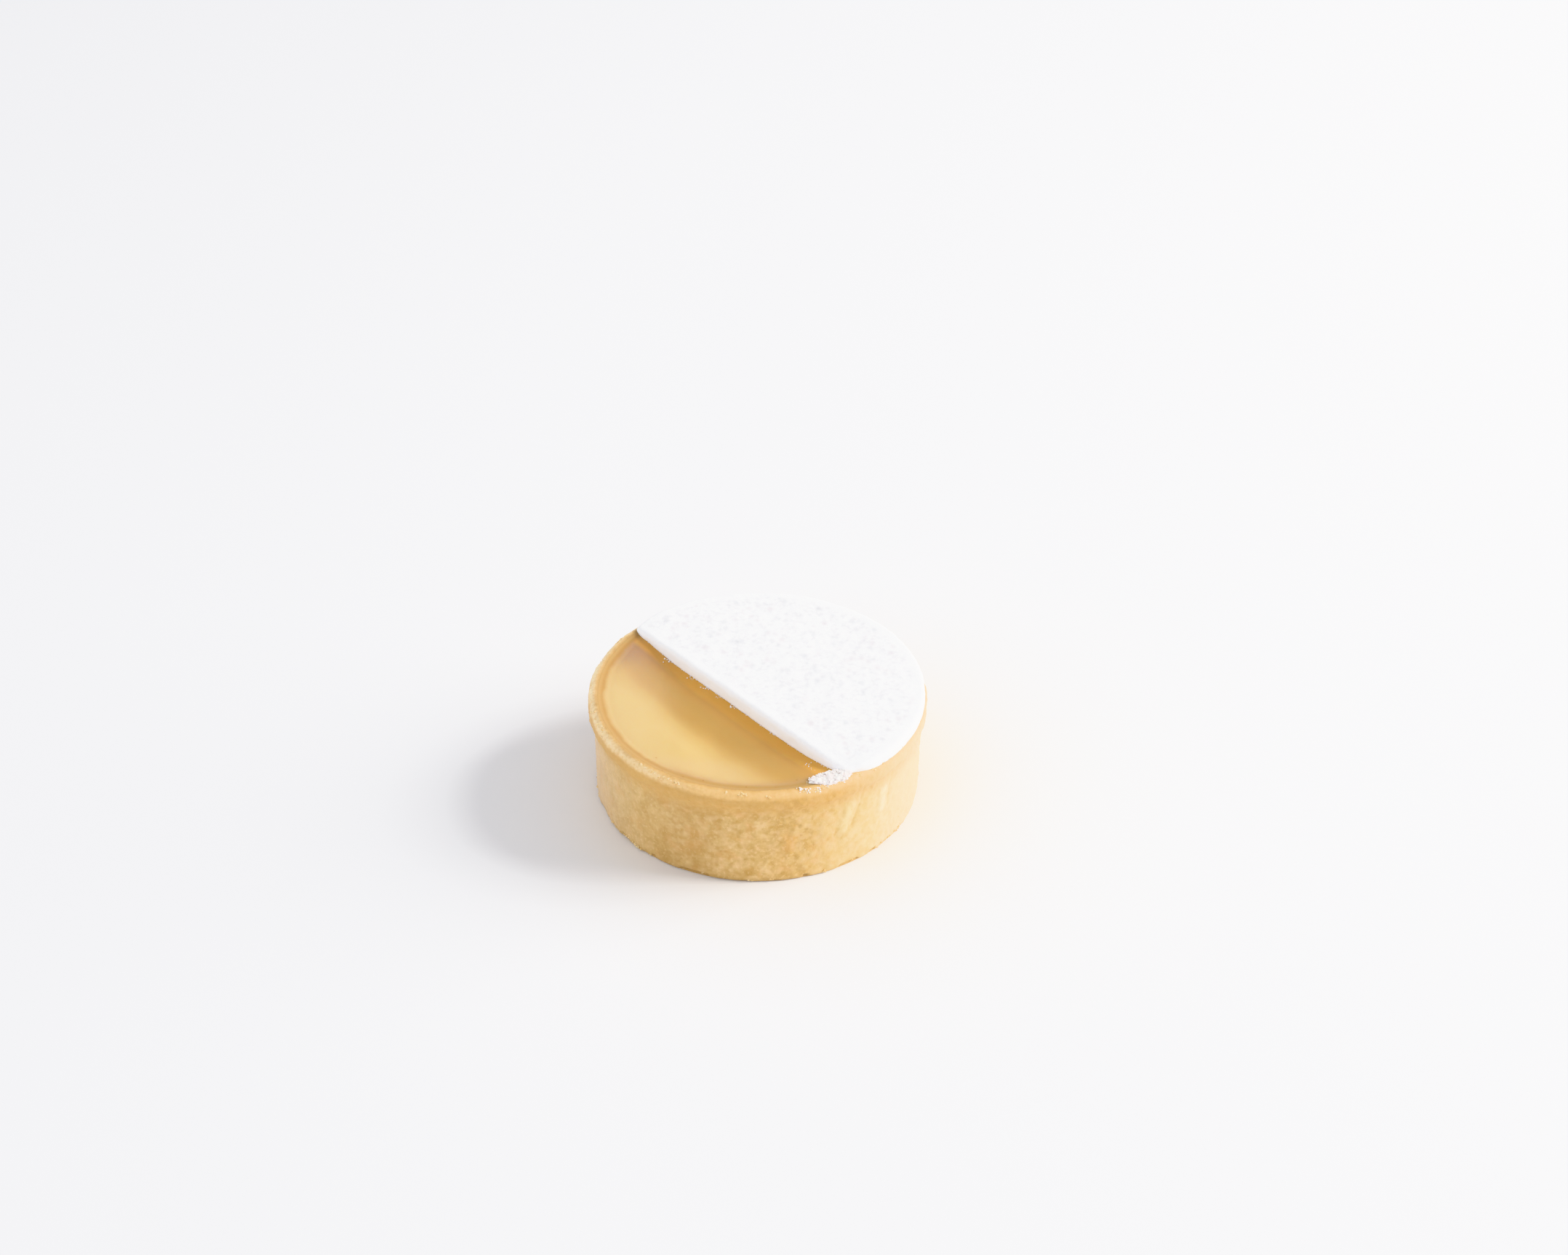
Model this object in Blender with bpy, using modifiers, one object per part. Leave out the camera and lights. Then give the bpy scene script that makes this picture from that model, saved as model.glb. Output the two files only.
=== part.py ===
"""Lemon tart: a round, straight-sided short-crust case, filled with lemon curd almost to
its rim, and a level layer of icing sugar that ends in one straight cut across the top.

Metres, +Z up. The origin is the centre of the case's underside, and -Y is the front.
"""

import math

import bmesh
import bpy
import numpy as np

MM = 0.001

# Case, from the underside up
FOOT_RADIUS = 38.6 * MM
FOOT_ROUND = 0.8 * MM
WALL_RADIUS = 38.8 * MM
WALL_STRAIGHT_TOP = 18.0 * MM
FLARE_RADIUS = 39.05 * MM
FLARE_TOP = 21.3 * MM
LIP_RADIUS = 40.1 * MM
LIP_BOTTOM = 22.7 * MM
LIP_TOP = 24.2 * MM
CREST_RADIUS = 38.3 * MM
CREST_HEIGHT = 26.6 * MM
MOUTH_RADIUS = 36.7 * MM
MOUTH_HEIGHT = 25.6 * MM
FLOOR_RADIUS = 35.6 * MM
FLOOR_HEIGHT = 3.0 * MM
CASE_STEPS = 120

# Shallow lumps pressed into the outside of the case
LUMP_SEED = 7
LUMP_COUNT = 150
LUMP_WIDTH = (1.1 * MM, 2.6 * MM)
LUMP_STRETCH = (1.0, 1.7)
LUMP_DEPTHS = (-0.18 * MM, 0.30 * MM)
FOOT_CRUMBLE = 0.35 * MM
FOOT_WAVES = ((23, 0.4), (37, 2.1), (51, 4.0))
# Two pleats in the dough, each from (angle, height) to (angle, height)
PLEATS = (((-54.0, 18.1 * MM), (-57.4, 11.9 * MM)), ((-39.2, 17.2 * MM), (-40.1, 12.3 * MM)))
PLEAT_WIDTH = 0.9 * MM
PLEAT_DEPTH = 0.4 * MM

# Curd, which dips in the middle
CURD_LOW = 24.8 * MM
CURD_RISE = 1.2 * MM
CURD_RISE_FROM = 20.0 * MM
CURD_STEPS = 64

# Icing sugar, and the straight cut that ends it
SUGAR_RADIUS = 39.3 * MM
SUGAR_SHIFT = (0.25 * MM, -0.15 * MM)
SUGAR_TOP = 28.35 * MM
SUGAR_FALL = 0.35 * MM
SUGAR_ROUND = 1.4 * MM
CUT_FACES = 221.7
CUT_OFFSET = 7.0 * MM
CORNER_SHARPNESS = 60.0
NEVER_FACING = 1e-6
SUGAR_CENTRE = 14.0 * MM
SUGAR_STEPS = 116
# Its rings, as (inset from the edge, share of the distance from its own centre)
RINGS_UNDER = (
    (3.0 * MM, 0.25), (3.0 * MM, 0.5), (3.0 * MM, 0.75), (5.0 * MM, 1.0), (3.6 * MM, 1.0),
    (2.7 * MM, 1.0), (2.0 * MM, 1.0), (1.3 * MM, 1.0), (0.7 * MM, 1.0), (0.0, 1.0))
RINGS_OVER = (
    (2.1 * MM, 1.0), (3.0 * MM, 1.0), (4.2 * MM, 1.0), (5.6 * MM, 1.0), (7.4 * MM, 1.0),
    (7.4 * MM, 0.7), (7.4 * MM, 0.4), (7.4 * MM, 0.12))
ROUND_TURNS = (0, 30, 60, 90)
THINNEST = 0.1 * MM

# The worn corners at the ends of the cut: (angle, how far the top sinks, share of reach lost)
CORNERS = ((-58.5, 0.9 * MM, 0.035), (142.0, 0.45 * MM, 0.012))
CORNER_SPREAD = 5.5 * MM

# A low bank of spilled lumps that lies along the rim at the front corner
BANK_SEED = 11
BANK_ANGLES = (-71.5, -51.5)
BANK_RADII = (35.2 * MM, 39.8 * MM)
BANK_HEIGHT = 1.1 * MM
BANK_CLEARANCE = 0.45 * MM
BANK_TIP_SHIFT = 1.2 * MM
BANK_TIP_SHARE = 0.35
BANK_LUMPS = 60
BANK_LUMP_RADII = (0.4 * MM, 0.9 * MM)
BANK_STEPS = 56
BANK_SHARES_UNDER = (0.3, 0.65, 1.0)
BANK_SHARES_OVER = (0.97, 0.9, 0.8, 0.68, 0.55, 0.4, 0.25, 0.1)

CLEARANCE = 0.3 * MM

CRUST_COLOUR = (0.68, 0.44, 0.18)
CURD_COLOUR = (0.84, 0.58, 0.19)
SUGAR_COLOUR = (0.92, 0.91, 0.90)


def clear_scene():
    for old in list(bpy.data.objects):
        bpy.data.objects.remove(old, do_unlink=True)


def collection(name):
    made = bpy.data.collections.new(name)
    bpy.context.scene.collection.children.link(made)
    return made


def material(name, colour, roughness):
    made = bpy.data.materials.new(name)
    made.use_nodes = True
    shader = made.node_tree.nodes["Principled BSDF"]
    shader.inputs["Base Color"].default_value = (*colour, 1.0)
    shader.inputs["Roughness"].default_value = roughness
    shader.inputs["Metallic"].default_value = 0.0
    return made


def smooth_step(value, start, end):
    """0 up to start, 1 from end on, and an S-shaped rise between them."""
    share = np.clip((value - start) / (end - start), 0.0, 1.0)
    return share * share * (3.0 - 2.0 * share)


def quarter_ellipse(centre, across, up, start, end, steps):
    """(radius, height) points of an ellipse's arc, from start to end in degrees."""
    turns = np.radians(np.linspace(start, end, steps + 1))
    return [(centre[0] + across * math.cos(t), centre[1] + up * math.sin(t)) for t in turns]


def case_outline():
    """The case's section: floor, inner wall, rim, lip, outer wall, foot and underside."""
    inner_rim = quarter_ellipse(
        (CREST_RADIUS, MOUTH_HEIGHT), CREST_RADIUS - MOUTH_RADIUS, CREST_HEIGHT - MOUTH_HEIGHT,
        180, 90, 3)
    outer_rim = quarter_ellipse(
        (CREST_RADIUS, LIP_TOP), LIP_RADIUS - CREST_RADIUS, CREST_HEIGHT - LIP_TOP, 90, 0, 4)
    flare_heights = np.linspace(FLARE_TOP, WALL_STRAIGHT_TOP, 5)
    flare = [(WALL_RADIUS + (FLARE_RADIUS - WALL_RADIUS)
              * float(smooth_step(z, WALL_STRAIGHT_TOP, FLARE_TOP)), float(z))
             for z in flare_heights]
    wall_heights = np.linspace(WALL_STRAIGHT_TOP, FOOT_ROUND, 6)[1:-1]
    wall = [(float(np.interp(z, (0, WALL_STRAIGHT_TOP), (FOOT_RADIUS, WALL_RADIUS))), float(z))
            for z in wall_heights]
    foot = quarter_ellipse(
        (FOOT_RADIUS - FOOT_ROUND, FOOT_ROUND), FOOT_ROUND, FOOT_ROUND, 0, -90, 2)
    return ([(0.0, FLOOR_HEIGHT), (FLOOR_RADIUS, FLOOR_HEIGHT)] + inner_rim + outer_rim[1:]
            + [(LIP_RADIUS, LIP_BOTTOM)] + flare + wall + foot + [(0.0, 0.0)])


def rim_top(radius):
    """Height of the rim's top at a radius, and zero inside the mouth."""
    inside = 1.0 - ((CREST_RADIUS - radius) / (CREST_RADIUS - MOUTH_RADIUS)) ** 2
    outside = 1.0 - ((radius - CREST_RADIUS) / (LIP_RADIUS - CREST_RADIUS)) ** 2
    inner = MOUTH_HEIGHT + (CREST_HEIGHT - MOUTH_HEIGHT) * np.sqrt(np.clip(inside, 0, 1))
    outer = LIP_TOP + (CREST_HEIGHT - LIP_TOP) * np.sqrt(np.clip(outside, 0, 1))
    height = np.where(radius < CREST_RADIUS, inner, outer)
    return np.where(radius < MOUTH_RADIUS, 0.0, height)


def curd_top(radius):
    """Height of the curd: level in the middle, and drawn up towards the case."""
    return CURD_LOW + CURD_RISE * smooth_step(radius, CURD_RISE_FROM, MOUTH_RADIUS)


def bed_height(x, y):
    """Height of what the icing sugar lies on: the curd, or the case's rim."""
    radius = np.hypot(x, y)
    return np.maximum(curd_top(radius), rim_top(radius))


def curd_outline():
    """The curd's section: its dipped top, then the wall and floor that the case gives it."""
    edge = MOUTH_RADIUS - CLEARANCE
    radii = np.concatenate([[0.0, 12.0 * MM], np.linspace(CURD_RISE_FROM, edge, 6)])
    top = [(float(r), float(curd_top(r))) for r in radii]
    floor = FLOOR_HEIGHT + CLEARANCE
    return top + [(edge, MOUTH_HEIGHT - CLEARANCE), (FLOOR_RADIUS - CLEARANCE, floor), (0.0, floor)]


def turned(name, outline, steps, target):
    """A solid turned from its section by a Screw modifier."""
    mesh = bpy.data.meshes.new(name)
    links = [(i, i + 1) for i in range(len(outline) - 1)]
    mesh.from_pydata([(radius, 0.0, height) for radius, height in outline], links, [])
    made = bpy.data.objects.new(name, mesh)
    target.objects.link(made)
    screw = made.modifiers.new("turn", "SCREW")
    screw.axis = "Z"
    screw.steps = steps
    screw.render_steps = steps
    screw.use_merge_vertices = True
    screw.merge_threshold = 0.01 * MM
    screw.use_normal_calculate = False
    return made


def apply_modifiers(made):
    """Replaces an object's mesh by the one that its modifiers give."""
    graph = bpy.context.evaluated_depsgraph_get()
    finished = bpy.data.meshes.new_from_object(made.evaluated_get(graph))
    made.modifiers.clear()
    made.data = finished


def points_of(mesh):
    flat = np.empty(len(mesh.vertices) * 3, np.float32)
    mesh.vertices.foreach_get("co", flat)
    return flat.reshape(-1, 3).astype(np.float64)


def move_points(mesh, points):
    mesh.vertices.foreach_set("co", points.astype(np.float32).ravel())
    mesh.update()


def around(angle, other):
    """The signed difference between two angles, in radians, the short way round."""
    return (angle - other + math.pi) % (2.0 * math.pi) - math.pi


def wall_relief(angle, height):
    """How far the outside of the case stands out or in: soft lumps, wider round the case
    than they are high, two pleats, and a foot that crumbles back in waves."""
    draw = np.random.default_rng(LUMP_SEED)
    relief = np.zeros_like(angle)
    for _ in range(LUMP_COUNT):
        lump_angle = draw.uniform(-math.pi, math.pi)
        lump_height = draw.uniform(0.0, FLARE_TOP)
        width = draw.uniform(*LUMP_WIDTH)
        depth = draw.uniform(*LUMP_DEPTHS)
        long_width = width * draw.uniform(*LUMP_STRETCH)
        across = around(angle, lump_angle) * WALL_RADIUS / long_width
        relief += depth * np.exp(-0.5 * (across ** 2 + ((height - lump_height) / width) ** 2))
    for (low_angle, low), (high_angle, high) in PLEATS:
        along = np.clip((height - low) / (high - low), 0.0, 1.0)
        middle = np.radians(low_angle) + along * math.radians(high_angle - low_angle)
        across = around(angle, middle) * WALL_RADIUS / PLEAT_WIDTH
        past = (height - low - along * (high - low)) / PLEAT_WIDTH
        relief += PLEAT_DEPTH * np.exp(-0.5 * (across ** 2 + past ** 2))
    waves = sum(np.sin(count * angle + shift) for count, shift in FOOT_WAVES)
    near_foot = 1.0 - smooth_step(height, FOOT_ROUND, 2.5 * FOOT_ROUND)
    return relief - FOOT_CRUMBLE * near_foot * (0.5 + waves / 4.0)


def make_case(target):
    """The crust: turned from its section, then roughened on its outer side."""
    case = turned("crust", case_outline(), CASE_STEPS, target)
    apply_modifiers(case)
    points = points_of(case.data)
    radius = np.hypot(points[:, 0], points[:, 1])
    angle = np.arctan2(points[:, 1], points[:, 0])
    outside = smooth_step(radius, FOOT_RADIUS - 2.0 * FOOT_ROUND, FOOT_RADIUS - FOOT_ROUND)
    below_crest = 1.0 - smooth_step(points[:, 2], LIP_TOP, CREST_HEIGHT)
    shift = wall_relief(angle, points[:, 2]) * outside * below_crest
    points[:, 0] += shift * np.cos(angle)
    points[:, 1] += shift * np.sin(angle)
    move_points(case.data, points)
    return case


def sugar_outline(angle, inset):
    """Distance of the sugar's edge from its own centre: its circle and the cut, both
    moved in by the inset and blended at the corners by a high power."""
    facing = math.radians(CUT_FACES)
    out_x, out_y = np.cos(angle), np.sin(angle)
    cut_x, cut_y = math.cos(facing), math.sin(facing)
    centre_x, centre_y = -SUGAR_CENTRE * cut_x, -SUGAR_CENTRE * cut_y
    off_x, off_y = centre_x - SUGAR_SHIFT[0], centre_y - SUGAR_SHIFT[1]
    towards = off_x * out_x + off_y * out_y
    circle = SUGAR_RADIUS - inset
    to_circle = -towards + np.sqrt(circle ** 2 - off_x ** 2 - off_y ** 2 + towards ** 2)
    facing_cut = np.maximum(out_x * cut_x + out_y * cut_y, NEVER_FACING)
    to_cut = (CUT_OFFSET - inset + SUGAR_CENTRE) / facing_cut
    power = -CORNER_SHARPNESS
    distance = to_circle * (1.0 + (to_cut / to_circle) ** power) ** (1.0 / power)
    return centre_x, centre_y, distance


def corner_wear(x, y):
    """How far the top sinks at a point, and the share of its reach that is lost there."""
    drop = np.zeros_like(x)
    loss = np.zeros_like(x)
    for corner_angle, corner_drop, corner_loss in CORNERS:
        corner = math.radians(corner_angle)
        away = np.hypot(x - SUGAR_RADIUS * math.cos(corner), y - SUGAR_RADIUS * math.sin(corner))
        near = np.exp(-((away / CORNER_SPREAD) ** 2))
        drop += corner_drop * near
        loss += corner_loss * near
    return drop, loss


def sugar_angles():
    """Angles that space the outline's points evenly along its length."""
    fine = np.linspace(0.0, 2.0 * math.pi, 4001)
    _, _, distance = sugar_outline(fine, 0.0)
    run = np.hypot(np.diff(distance * np.cos(fine)), np.diff(distance * np.sin(fine)))
    length = np.concatenate([[0.0], np.cumsum(run)])
    return np.interp(np.arange(SUGAR_STEPS) * length[-1] / SUGAR_STEPS, length, fine)


def sugar_ring(angles, inset, share, below=None):
    """One ring of the layer: its outline moved in and shrunk. It lies on the bed or, given
    a depth below the top, on the upper side, which falls to the back and at the corners."""
    centre_x, centre_y, distance = sugar_outline(angles, inset)
    reach_x = share * distance * np.cos(angles)
    reach_y = share * distance * np.sin(angles)
    drop, loss = corner_wear(centre_x + reach_x, centre_y + reach_y)
    x = centre_x + reach_x * (1.0 - loss)
    y = centre_y + reach_y * (1.0 - loss)
    bed = bed_height(x, y) + CLEARANCE
    if below is None:
        return np.stack([x, y, bed], axis=1)
    top = SUGAR_TOP - SUGAR_FALL * y / SUGAR_RADIUS - drop
    return np.stack([x, y, np.maximum(top - below, bed + THINNEST)], axis=1)


def loft(name, rings, target):
    """A closed solid through rings of equally many points, each end closed by a fan."""
    mesh = bmesh.new()
    loops = [[mesh.verts.new(point) for point in ring] for ring in rings]
    for lower, upper in zip(loops, loops[1:]):
        for i in range(len(lower)):
            j = (i + 1) % len(lower)
            mesh.faces.new((lower[i], lower[j], upper[j], upper[i]))
    for ring, points in ((loops[0], rings[0]), (loops[-1], rings[-1])):
        middle = mesh.verts.new(np.mean(points, axis=0))
        for i in range(len(ring)):
            mesh.faces.new((ring[i], ring[(i + 1) % len(ring)], middle))
    bmesh.ops.recalc_face_normals(mesh, faces=mesh.faces)
    data = bpy.data.meshes.new(name)
    mesh.to_mesh(data)
    mesh.free()
    made = bpy.data.objects.new(name, data)
    target.objects.link(made)
    return made


def bank_lumps(x, y):
    """Height of the rounded lumps on the bank: at each point, the tallest dome over it."""
    draw = np.random.default_rng(BANK_SEED)
    start, end = BANK_ANGLES
    domes = np.zeros_like(x)
    for _ in range(BANK_LUMPS):
        angle = math.radians(draw.uniform(start, end))
        radius = draw.uniform(*BANK_RADII)
        size = draw.uniform(*BANK_LUMP_RADII)
        away = np.hypot(x - radius * math.cos(angle), y - radius * math.sin(angle))
        domes = np.maximum(domes, size * np.sqrt(np.clip(1.0 - (away / size) ** 2, 0.0, 1.0)))
    return domes


def bank_ring(share, turns, on_bed):
    """One ring of the bank: an oval that bends with the rim. Its top is a low arch, taller
    towards the cut, with lumps on it, and it meets its underside at the oval's edge."""
    along = share * np.cos(turns)
    across = share * np.sin(turns)
    start, end = BANK_ANGLES
    angle = np.radians((start + end) / 2.0 + along * (end - start) / 2.0)
    radius = np.mean(BANK_RADII) + across * (BANK_RADII[1] - BANK_RADII[0]) / 2.0
    radius -= BANK_TIP_SHIFT * (1.0 - along) / 2.0
    x, y = radius * np.cos(angle), radius * np.sin(angle)
    height = bed_height(x, y) + BANK_CLEARANCE
    if not on_bed:
        arch = math.sqrt(1.0 - share ** 2)
        taper = BANK_TIP_SHARE + (1.0 - BANK_TIP_SHARE) * (1.0 + along) / 2.0
        height += arch * (BANK_HEIGHT * taper + bank_lumps(x, y))
    return np.stack([x, y, height], axis=1)


def make_bank(target):
    """The spilled sugar: a low lumpy bank along the rim, tallest where it meets the cut."""
    turns = np.linspace(0.0, 2.0 * math.pi, BANK_STEPS, endpoint=False)
    under = [bank_ring(share, turns, True) for share in BANK_SHARES_UNDER]
    over = [bank_ring(share, turns, False) for share in BANK_SHARES_OVER]
    return loft("spilled_sugar", under + over, target)


def keep_largest_body(data):
    """Deletes every loose scrap, and the walls of every hollow that the union has sealed."""
    mesh = bmesh.new()
    mesh.from_mesh(data)
    left = set(mesh.faces)
    bodies = []
    while left:
        body = {left.pop()}
        front = list(body)
        while front:
            near = {other for face in front for edge in face.edges for other in edge.link_faces}
            front = list(near - body)
            body |= near
        left -= body
        bodies.append(body)
    bodies.sort(key=len)
    for body in bodies[:-1]:
        bmesh.ops.delete(mesh, geom=list(body), context="FACES")
    mesh.to_mesh(data)
    mesh.free()


def make_sugar(target):
    """The layer: rings from the middle of its underside, round its edge, to its middle top."""
    angles = sugar_angles()
    rings = [sugar_ring(angles, inset, share) for inset, share in RINGS_UNDER]
    for turn in np.radians(ROUND_TURNS):
        inset = SUGAR_ROUND * (1.0 - math.cos(turn))
        rings.append(sugar_ring(angles, inset, 1.0, SUGAR_ROUND * (1.0 - math.sin(turn))))
    rings += [sugar_ring(angles, inset, share, 0.0) for inset, share in RINGS_OVER]
    sugar = loft("icing_sugar", rings, target)
    bank = make_bank(target)
    union = sugar.modifiers.new("fuse spilled sugar", "BOOLEAN")
    union.operation = "UNION"
    union.object = bank
    apply_modifiers(sugar)
    bpy.data.objects.remove(bank, do_unlink=True)
    keep_largest_body(sugar.data)
    return sugar


def finish(made, surface, sharp_angle):
    """Gives an object its material and smooth shading, with sharp edges past an angle."""
    made.data.materials.clear()
    made.data.materials.append(surface)
    made.data.shade_smooth()
    made.data.set_sharp_from_angle(angle=math.radians(sharp_angle))


def main():
    clear_scene()
    tart = collection("lemon_tart")
    case = make_case(tart)
    curd = turned("lemon_filling", curd_outline(), CURD_STEPS, tart)
    sugar = make_sugar(tart)
    finish(case, material("crust", CRUST_COLOUR, 0.75), 60)
    finish(sugar, material("icing_sugar", SUGAR_COLOUR, 0.95), 40)
    curd.data.materials.append(material("lemon_filling", CURD_COLOUR, 0.35))
    curd.modifiers["turn"].use_smooth_shade = True


main()
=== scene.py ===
"""The looks of a lemon tart: baked short crust, satin curd, and icing sugar sifted over a
straight edge, with the lumps and crumbs that fell from it.

Metres, +Z up. The origin is the centre of the case's underside, and -Y is the front.
"""

import math

import bpy
import numpy as np
from mathutils import Matrix, Vector


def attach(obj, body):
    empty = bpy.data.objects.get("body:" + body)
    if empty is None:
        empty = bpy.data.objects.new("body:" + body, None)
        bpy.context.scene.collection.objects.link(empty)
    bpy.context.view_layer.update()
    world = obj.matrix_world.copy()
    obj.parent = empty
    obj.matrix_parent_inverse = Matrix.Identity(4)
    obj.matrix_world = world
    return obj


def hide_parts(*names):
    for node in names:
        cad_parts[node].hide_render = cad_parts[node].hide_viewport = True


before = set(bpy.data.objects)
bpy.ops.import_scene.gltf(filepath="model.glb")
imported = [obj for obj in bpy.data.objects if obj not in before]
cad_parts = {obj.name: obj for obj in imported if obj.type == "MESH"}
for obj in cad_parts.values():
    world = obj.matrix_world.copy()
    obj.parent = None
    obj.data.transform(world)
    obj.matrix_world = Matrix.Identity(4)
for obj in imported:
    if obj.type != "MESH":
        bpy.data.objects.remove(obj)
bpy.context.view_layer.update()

MM = 0.001

# -------- sizes

# Case, from the underside up
FOOT_RADIUS = 38.6 * MM
FOOT_ROUND = 0.8 * MM
WALL_RADIUS = 38.8 * MM
WALL_STRAIGHT_TOP = 18.0 * MM
FLARE_RADIUS = 39.05 * MM
FLARE_TOP = 21.3 * MM
LIP_RADIUS = 40.1 * MM
LIP_BOTTOM = 22.7 * MM
LIP_TOP = 24.2 * MM
LIP_ROLL = 0.7 * MM
CREST_RADIUS = 38.3 * MM
CREST_HEIGHT = 26.6 * MM
MOUTH_RADIUS = 36.7 * MM
MOUTH_HEIGHT = 25.6 * MM
FLOOR_RADIUS = 35.6 * MM
FLOOR_HEIGHT = 3.0 * MM
# Where the section's hidden lines and its seen one start and end
HIDDEN_START = 4.0 * MM
HIDDEN_END = MOUTH_HEIGHT - 1.5 * MM
SEEN_START = MOUTH_HEIGHT - 1.2 * MM
UNDER_START = FOOT_RADIUS - FOOT_ROUND - 0.4 * MM
SEEN_STEP = 0.34 * MM
HIDDEN_STEP = 3.0 * MM
FLARE_POINTS = 30
CASE_TURNS = 760

# Curd
CURD_LOW = 24.8 * MM
CURD_RISE = 1.2 * MM
CURD_RISE_FROM = 20.0 * MM
CLIMB_FROM = 34.8 * MM
CLIMB_TO = 37.6 * MM
CLIMB_POWER = 1.6
CURD_EDGE = 38.1 * MM
CURD_FILM = 0.008 * MM
CURD_DIVE = 0.016 * MM
CURD_CALM = (33.5 * MM, 36.5 * MM)
# (size, rise in mm) of its slow unevenness
CURD_SWELLS = ((9.0 * MM, 0.10), (2.5 * MM, 0.02))
# (first radius, last radius, count) of the rings of its top
CURD_RINGS = ((0.6 * MM, 33.0 * MM, 66), (33.25 * MM, CURD_EDGE, 34))
# (radius, height) of the rings of its hidden side and underside
CURD_BELOW = ((CURD_EDGE, 24.5 * MM), (FLOOR_RADIUS, 3.3 * MM), (5.0 * MM, 3.3 * MM))
CURD_TURNS = 300

# Icing sugar
SUGAR_RADIUS = 39.3 * MM
SUGAR_SHIFT = (0.25 * MM, -0.15 * MM)
SUGAR_TOP = 28.35 * MM
SUGAR_FALL = 0.35 * MM
SUGAR_ROUND = 1.1 * MM
CUT_FACES = math.radians(221.7)
CUT_OFFSET = 7.0 * MM
CORNER_SHARPNESS = 60.0
NEVER_FACING = 1e-6
SUGAR_CENTRE = 14.0 * MM
SUGAR_TURNS = 720
OUTLINE_POINTS = 8001
# The worn corners: (angle in degrees, how far the top sinks, share of the reach lost)
CORNERS = ((-58.5, 0.9 * MM, 0.035), (142.0, 0.45 * MM, 0.012))
CORNER_SPREAD = 5.5 * MM
# (inset, share of the reach) of the rings of its underside, and how deep that lies in the bed
SUGAR_UNDER = ((3.0 * MM, 0.3), (3.0 * MM, 0.65), (3.0 * MM, 1.0), (1.2 * MM, 1.0))
SUGAR_SINK = 0.05 * MM
LEAST_SIDE = 0.15 * MM
SIDE_RINGS = 9
EDGE_RINGS = 7
TOP_STEP = 0.3 * MM
TOP_INSET = 7.0 * MM
TOP_RINGS = 84
TOP_LEAST_SHARE = 0.012
# How far in from the edge the top turns from smooth to open
OPEN_WITHIN = (1.8 * MM, 3.4 * MM)
# How much of the grain shows on the side, the rounded edge and the top beside it
SIDE_GRAIN = 0.9
EDGE_GRAIN = 0.8
TOP_EDGE_GRAIN = 0.5
# (size, rise in mm) of its grain, and of the slow swell that runs through all of it
SUGAR_GRAIN = ((0.9 * MM, 0.05), (2.2 * MM, 0.10))
SUGAR_SWELL = ((6.0 * MM, 0.15),)


# -------- arrays

# Cubes along each side of the random blocks that noise and pebbles repeat
NOISE_BLOCK = 48
PEBBLE_BLOCK = 40
# Ranges of a pebble's centre and radius in its cube, and the radius of one that is left out
PEBBLE_CENTRES = (0.15, 0.85)
PEBBLE_RADII = (0.35, 0.62)
PEBBLE_SPECK = 0.05
NO_LENGTH = 1e-12
ARC_POINTS = 25


def smooth_step(value, start, end):
    """0 up to start, 1 from end on, and an S-shaped rise between them."""
    share = np.clip((value - start) / (end - start), 0.0, 1.0)
    return share * share * (3.0 - 2.0 * share)


def soft_noise(points, size, seed):
    """Smooth noise from -1 to 1: random numbers at the corners of cubes of the given size,
    blended inside each cube by an S-curve along each axis."""
    lattice = np.random.default_rng(seed).uniform(-1.0, 1.0, (NOISE_BLOCK,) * 3)
    scaled = points / size
    cell = np.floor(scaled).astype(int)
    part = scaled - cell
    part = part * part * (3.0 - 2.0 * part)
    total = np.zeros(points.shape[:-1])
    for corner in np.ndindex(2, 2, 2):
        at = (cell + corner) % NOISE_BLOCK
        weight = np.prod(np.where(corner, part, 1.0 - part), axis=-1)
        total += weight * lattice[at[..., 0], at[..., 1], at[..., 2]]
    return total


def pebbles(points, size, seed, kept):
    """Rounded bumps from 0 to 1: one random centre in each cube of the given size, and at
    each point one minus the squared distance to the nearest kept centre, in bump radii."""
    draw = np.random.default_rng(seed)
    block = (PEBBLE_BLOCK,) * 3
    offsets = draw.uniform(*PEBBLE_CENTRES, (*block, 3))
    sizes = draw.uniform(*PEBBLE_RADII, block) * (draw.uniform(0.0, 1.0, block) < kept)
    scaled = points / size
    cell = np.floor(scaled).astype(int)
    best = np.zeros(points.shape[:-1])
    for step in np.ndindex(3, 3, 3):
        near = cell + np.array(step) - 1
        at = near % PEBBLE_BLOCK
        centre = near + offsets[at[..., 0], at[..., 1], at[..., 2]]
        radius = sizes[at[..., 0], at[..., 1], at[..., 2]]
        away = np.sum((scaled - centre) ** 2, axis=-1)
        best = np.maximum(best, 1.0 - away / np.maximum(radius, PEBBLE_SPECK) ** 2)
    return np.clip(best, 0.0, 1.0)


def layered(kind, points, layers, seed):
    """The sum of soft noises or of pebbles, each with its own size, rise and share kept."""
    return sum(rise * kind(points, size, seed + layer, *kept)
               for layer, (size, rise, *kept) in enumerate(layers))


def even_turns(count):
    """Angles once round, in even steps."""
    return np.linspace(0.0, 2.0 * math.pi, count, endpoint=False)


def polar(radius, turn, height):
    """Points at a radius, an angle in radians and a height."""
    x, y = radius * np.cos(turn), radius * np.sin(turn)
    return np.stack([x, y, height + 0.0 * x], -1)


def grid_normals(rings):
    """Unit normals of a grid of rings: the cross product of the step round the ring and the
    step from ring to ring."""
    round_step = np.roll(rings, -1, axis=1) - np.roll(rings, 1, axis=1)
    ring_step = np.gradient(rings, axis=0)
    normals = np.cross(round_step, ring_step)
    length = np.linalg.norm(normals, axis=-1, keepdims=True)
    return normals / np.maximum(length, NO_LENGTH)


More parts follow.
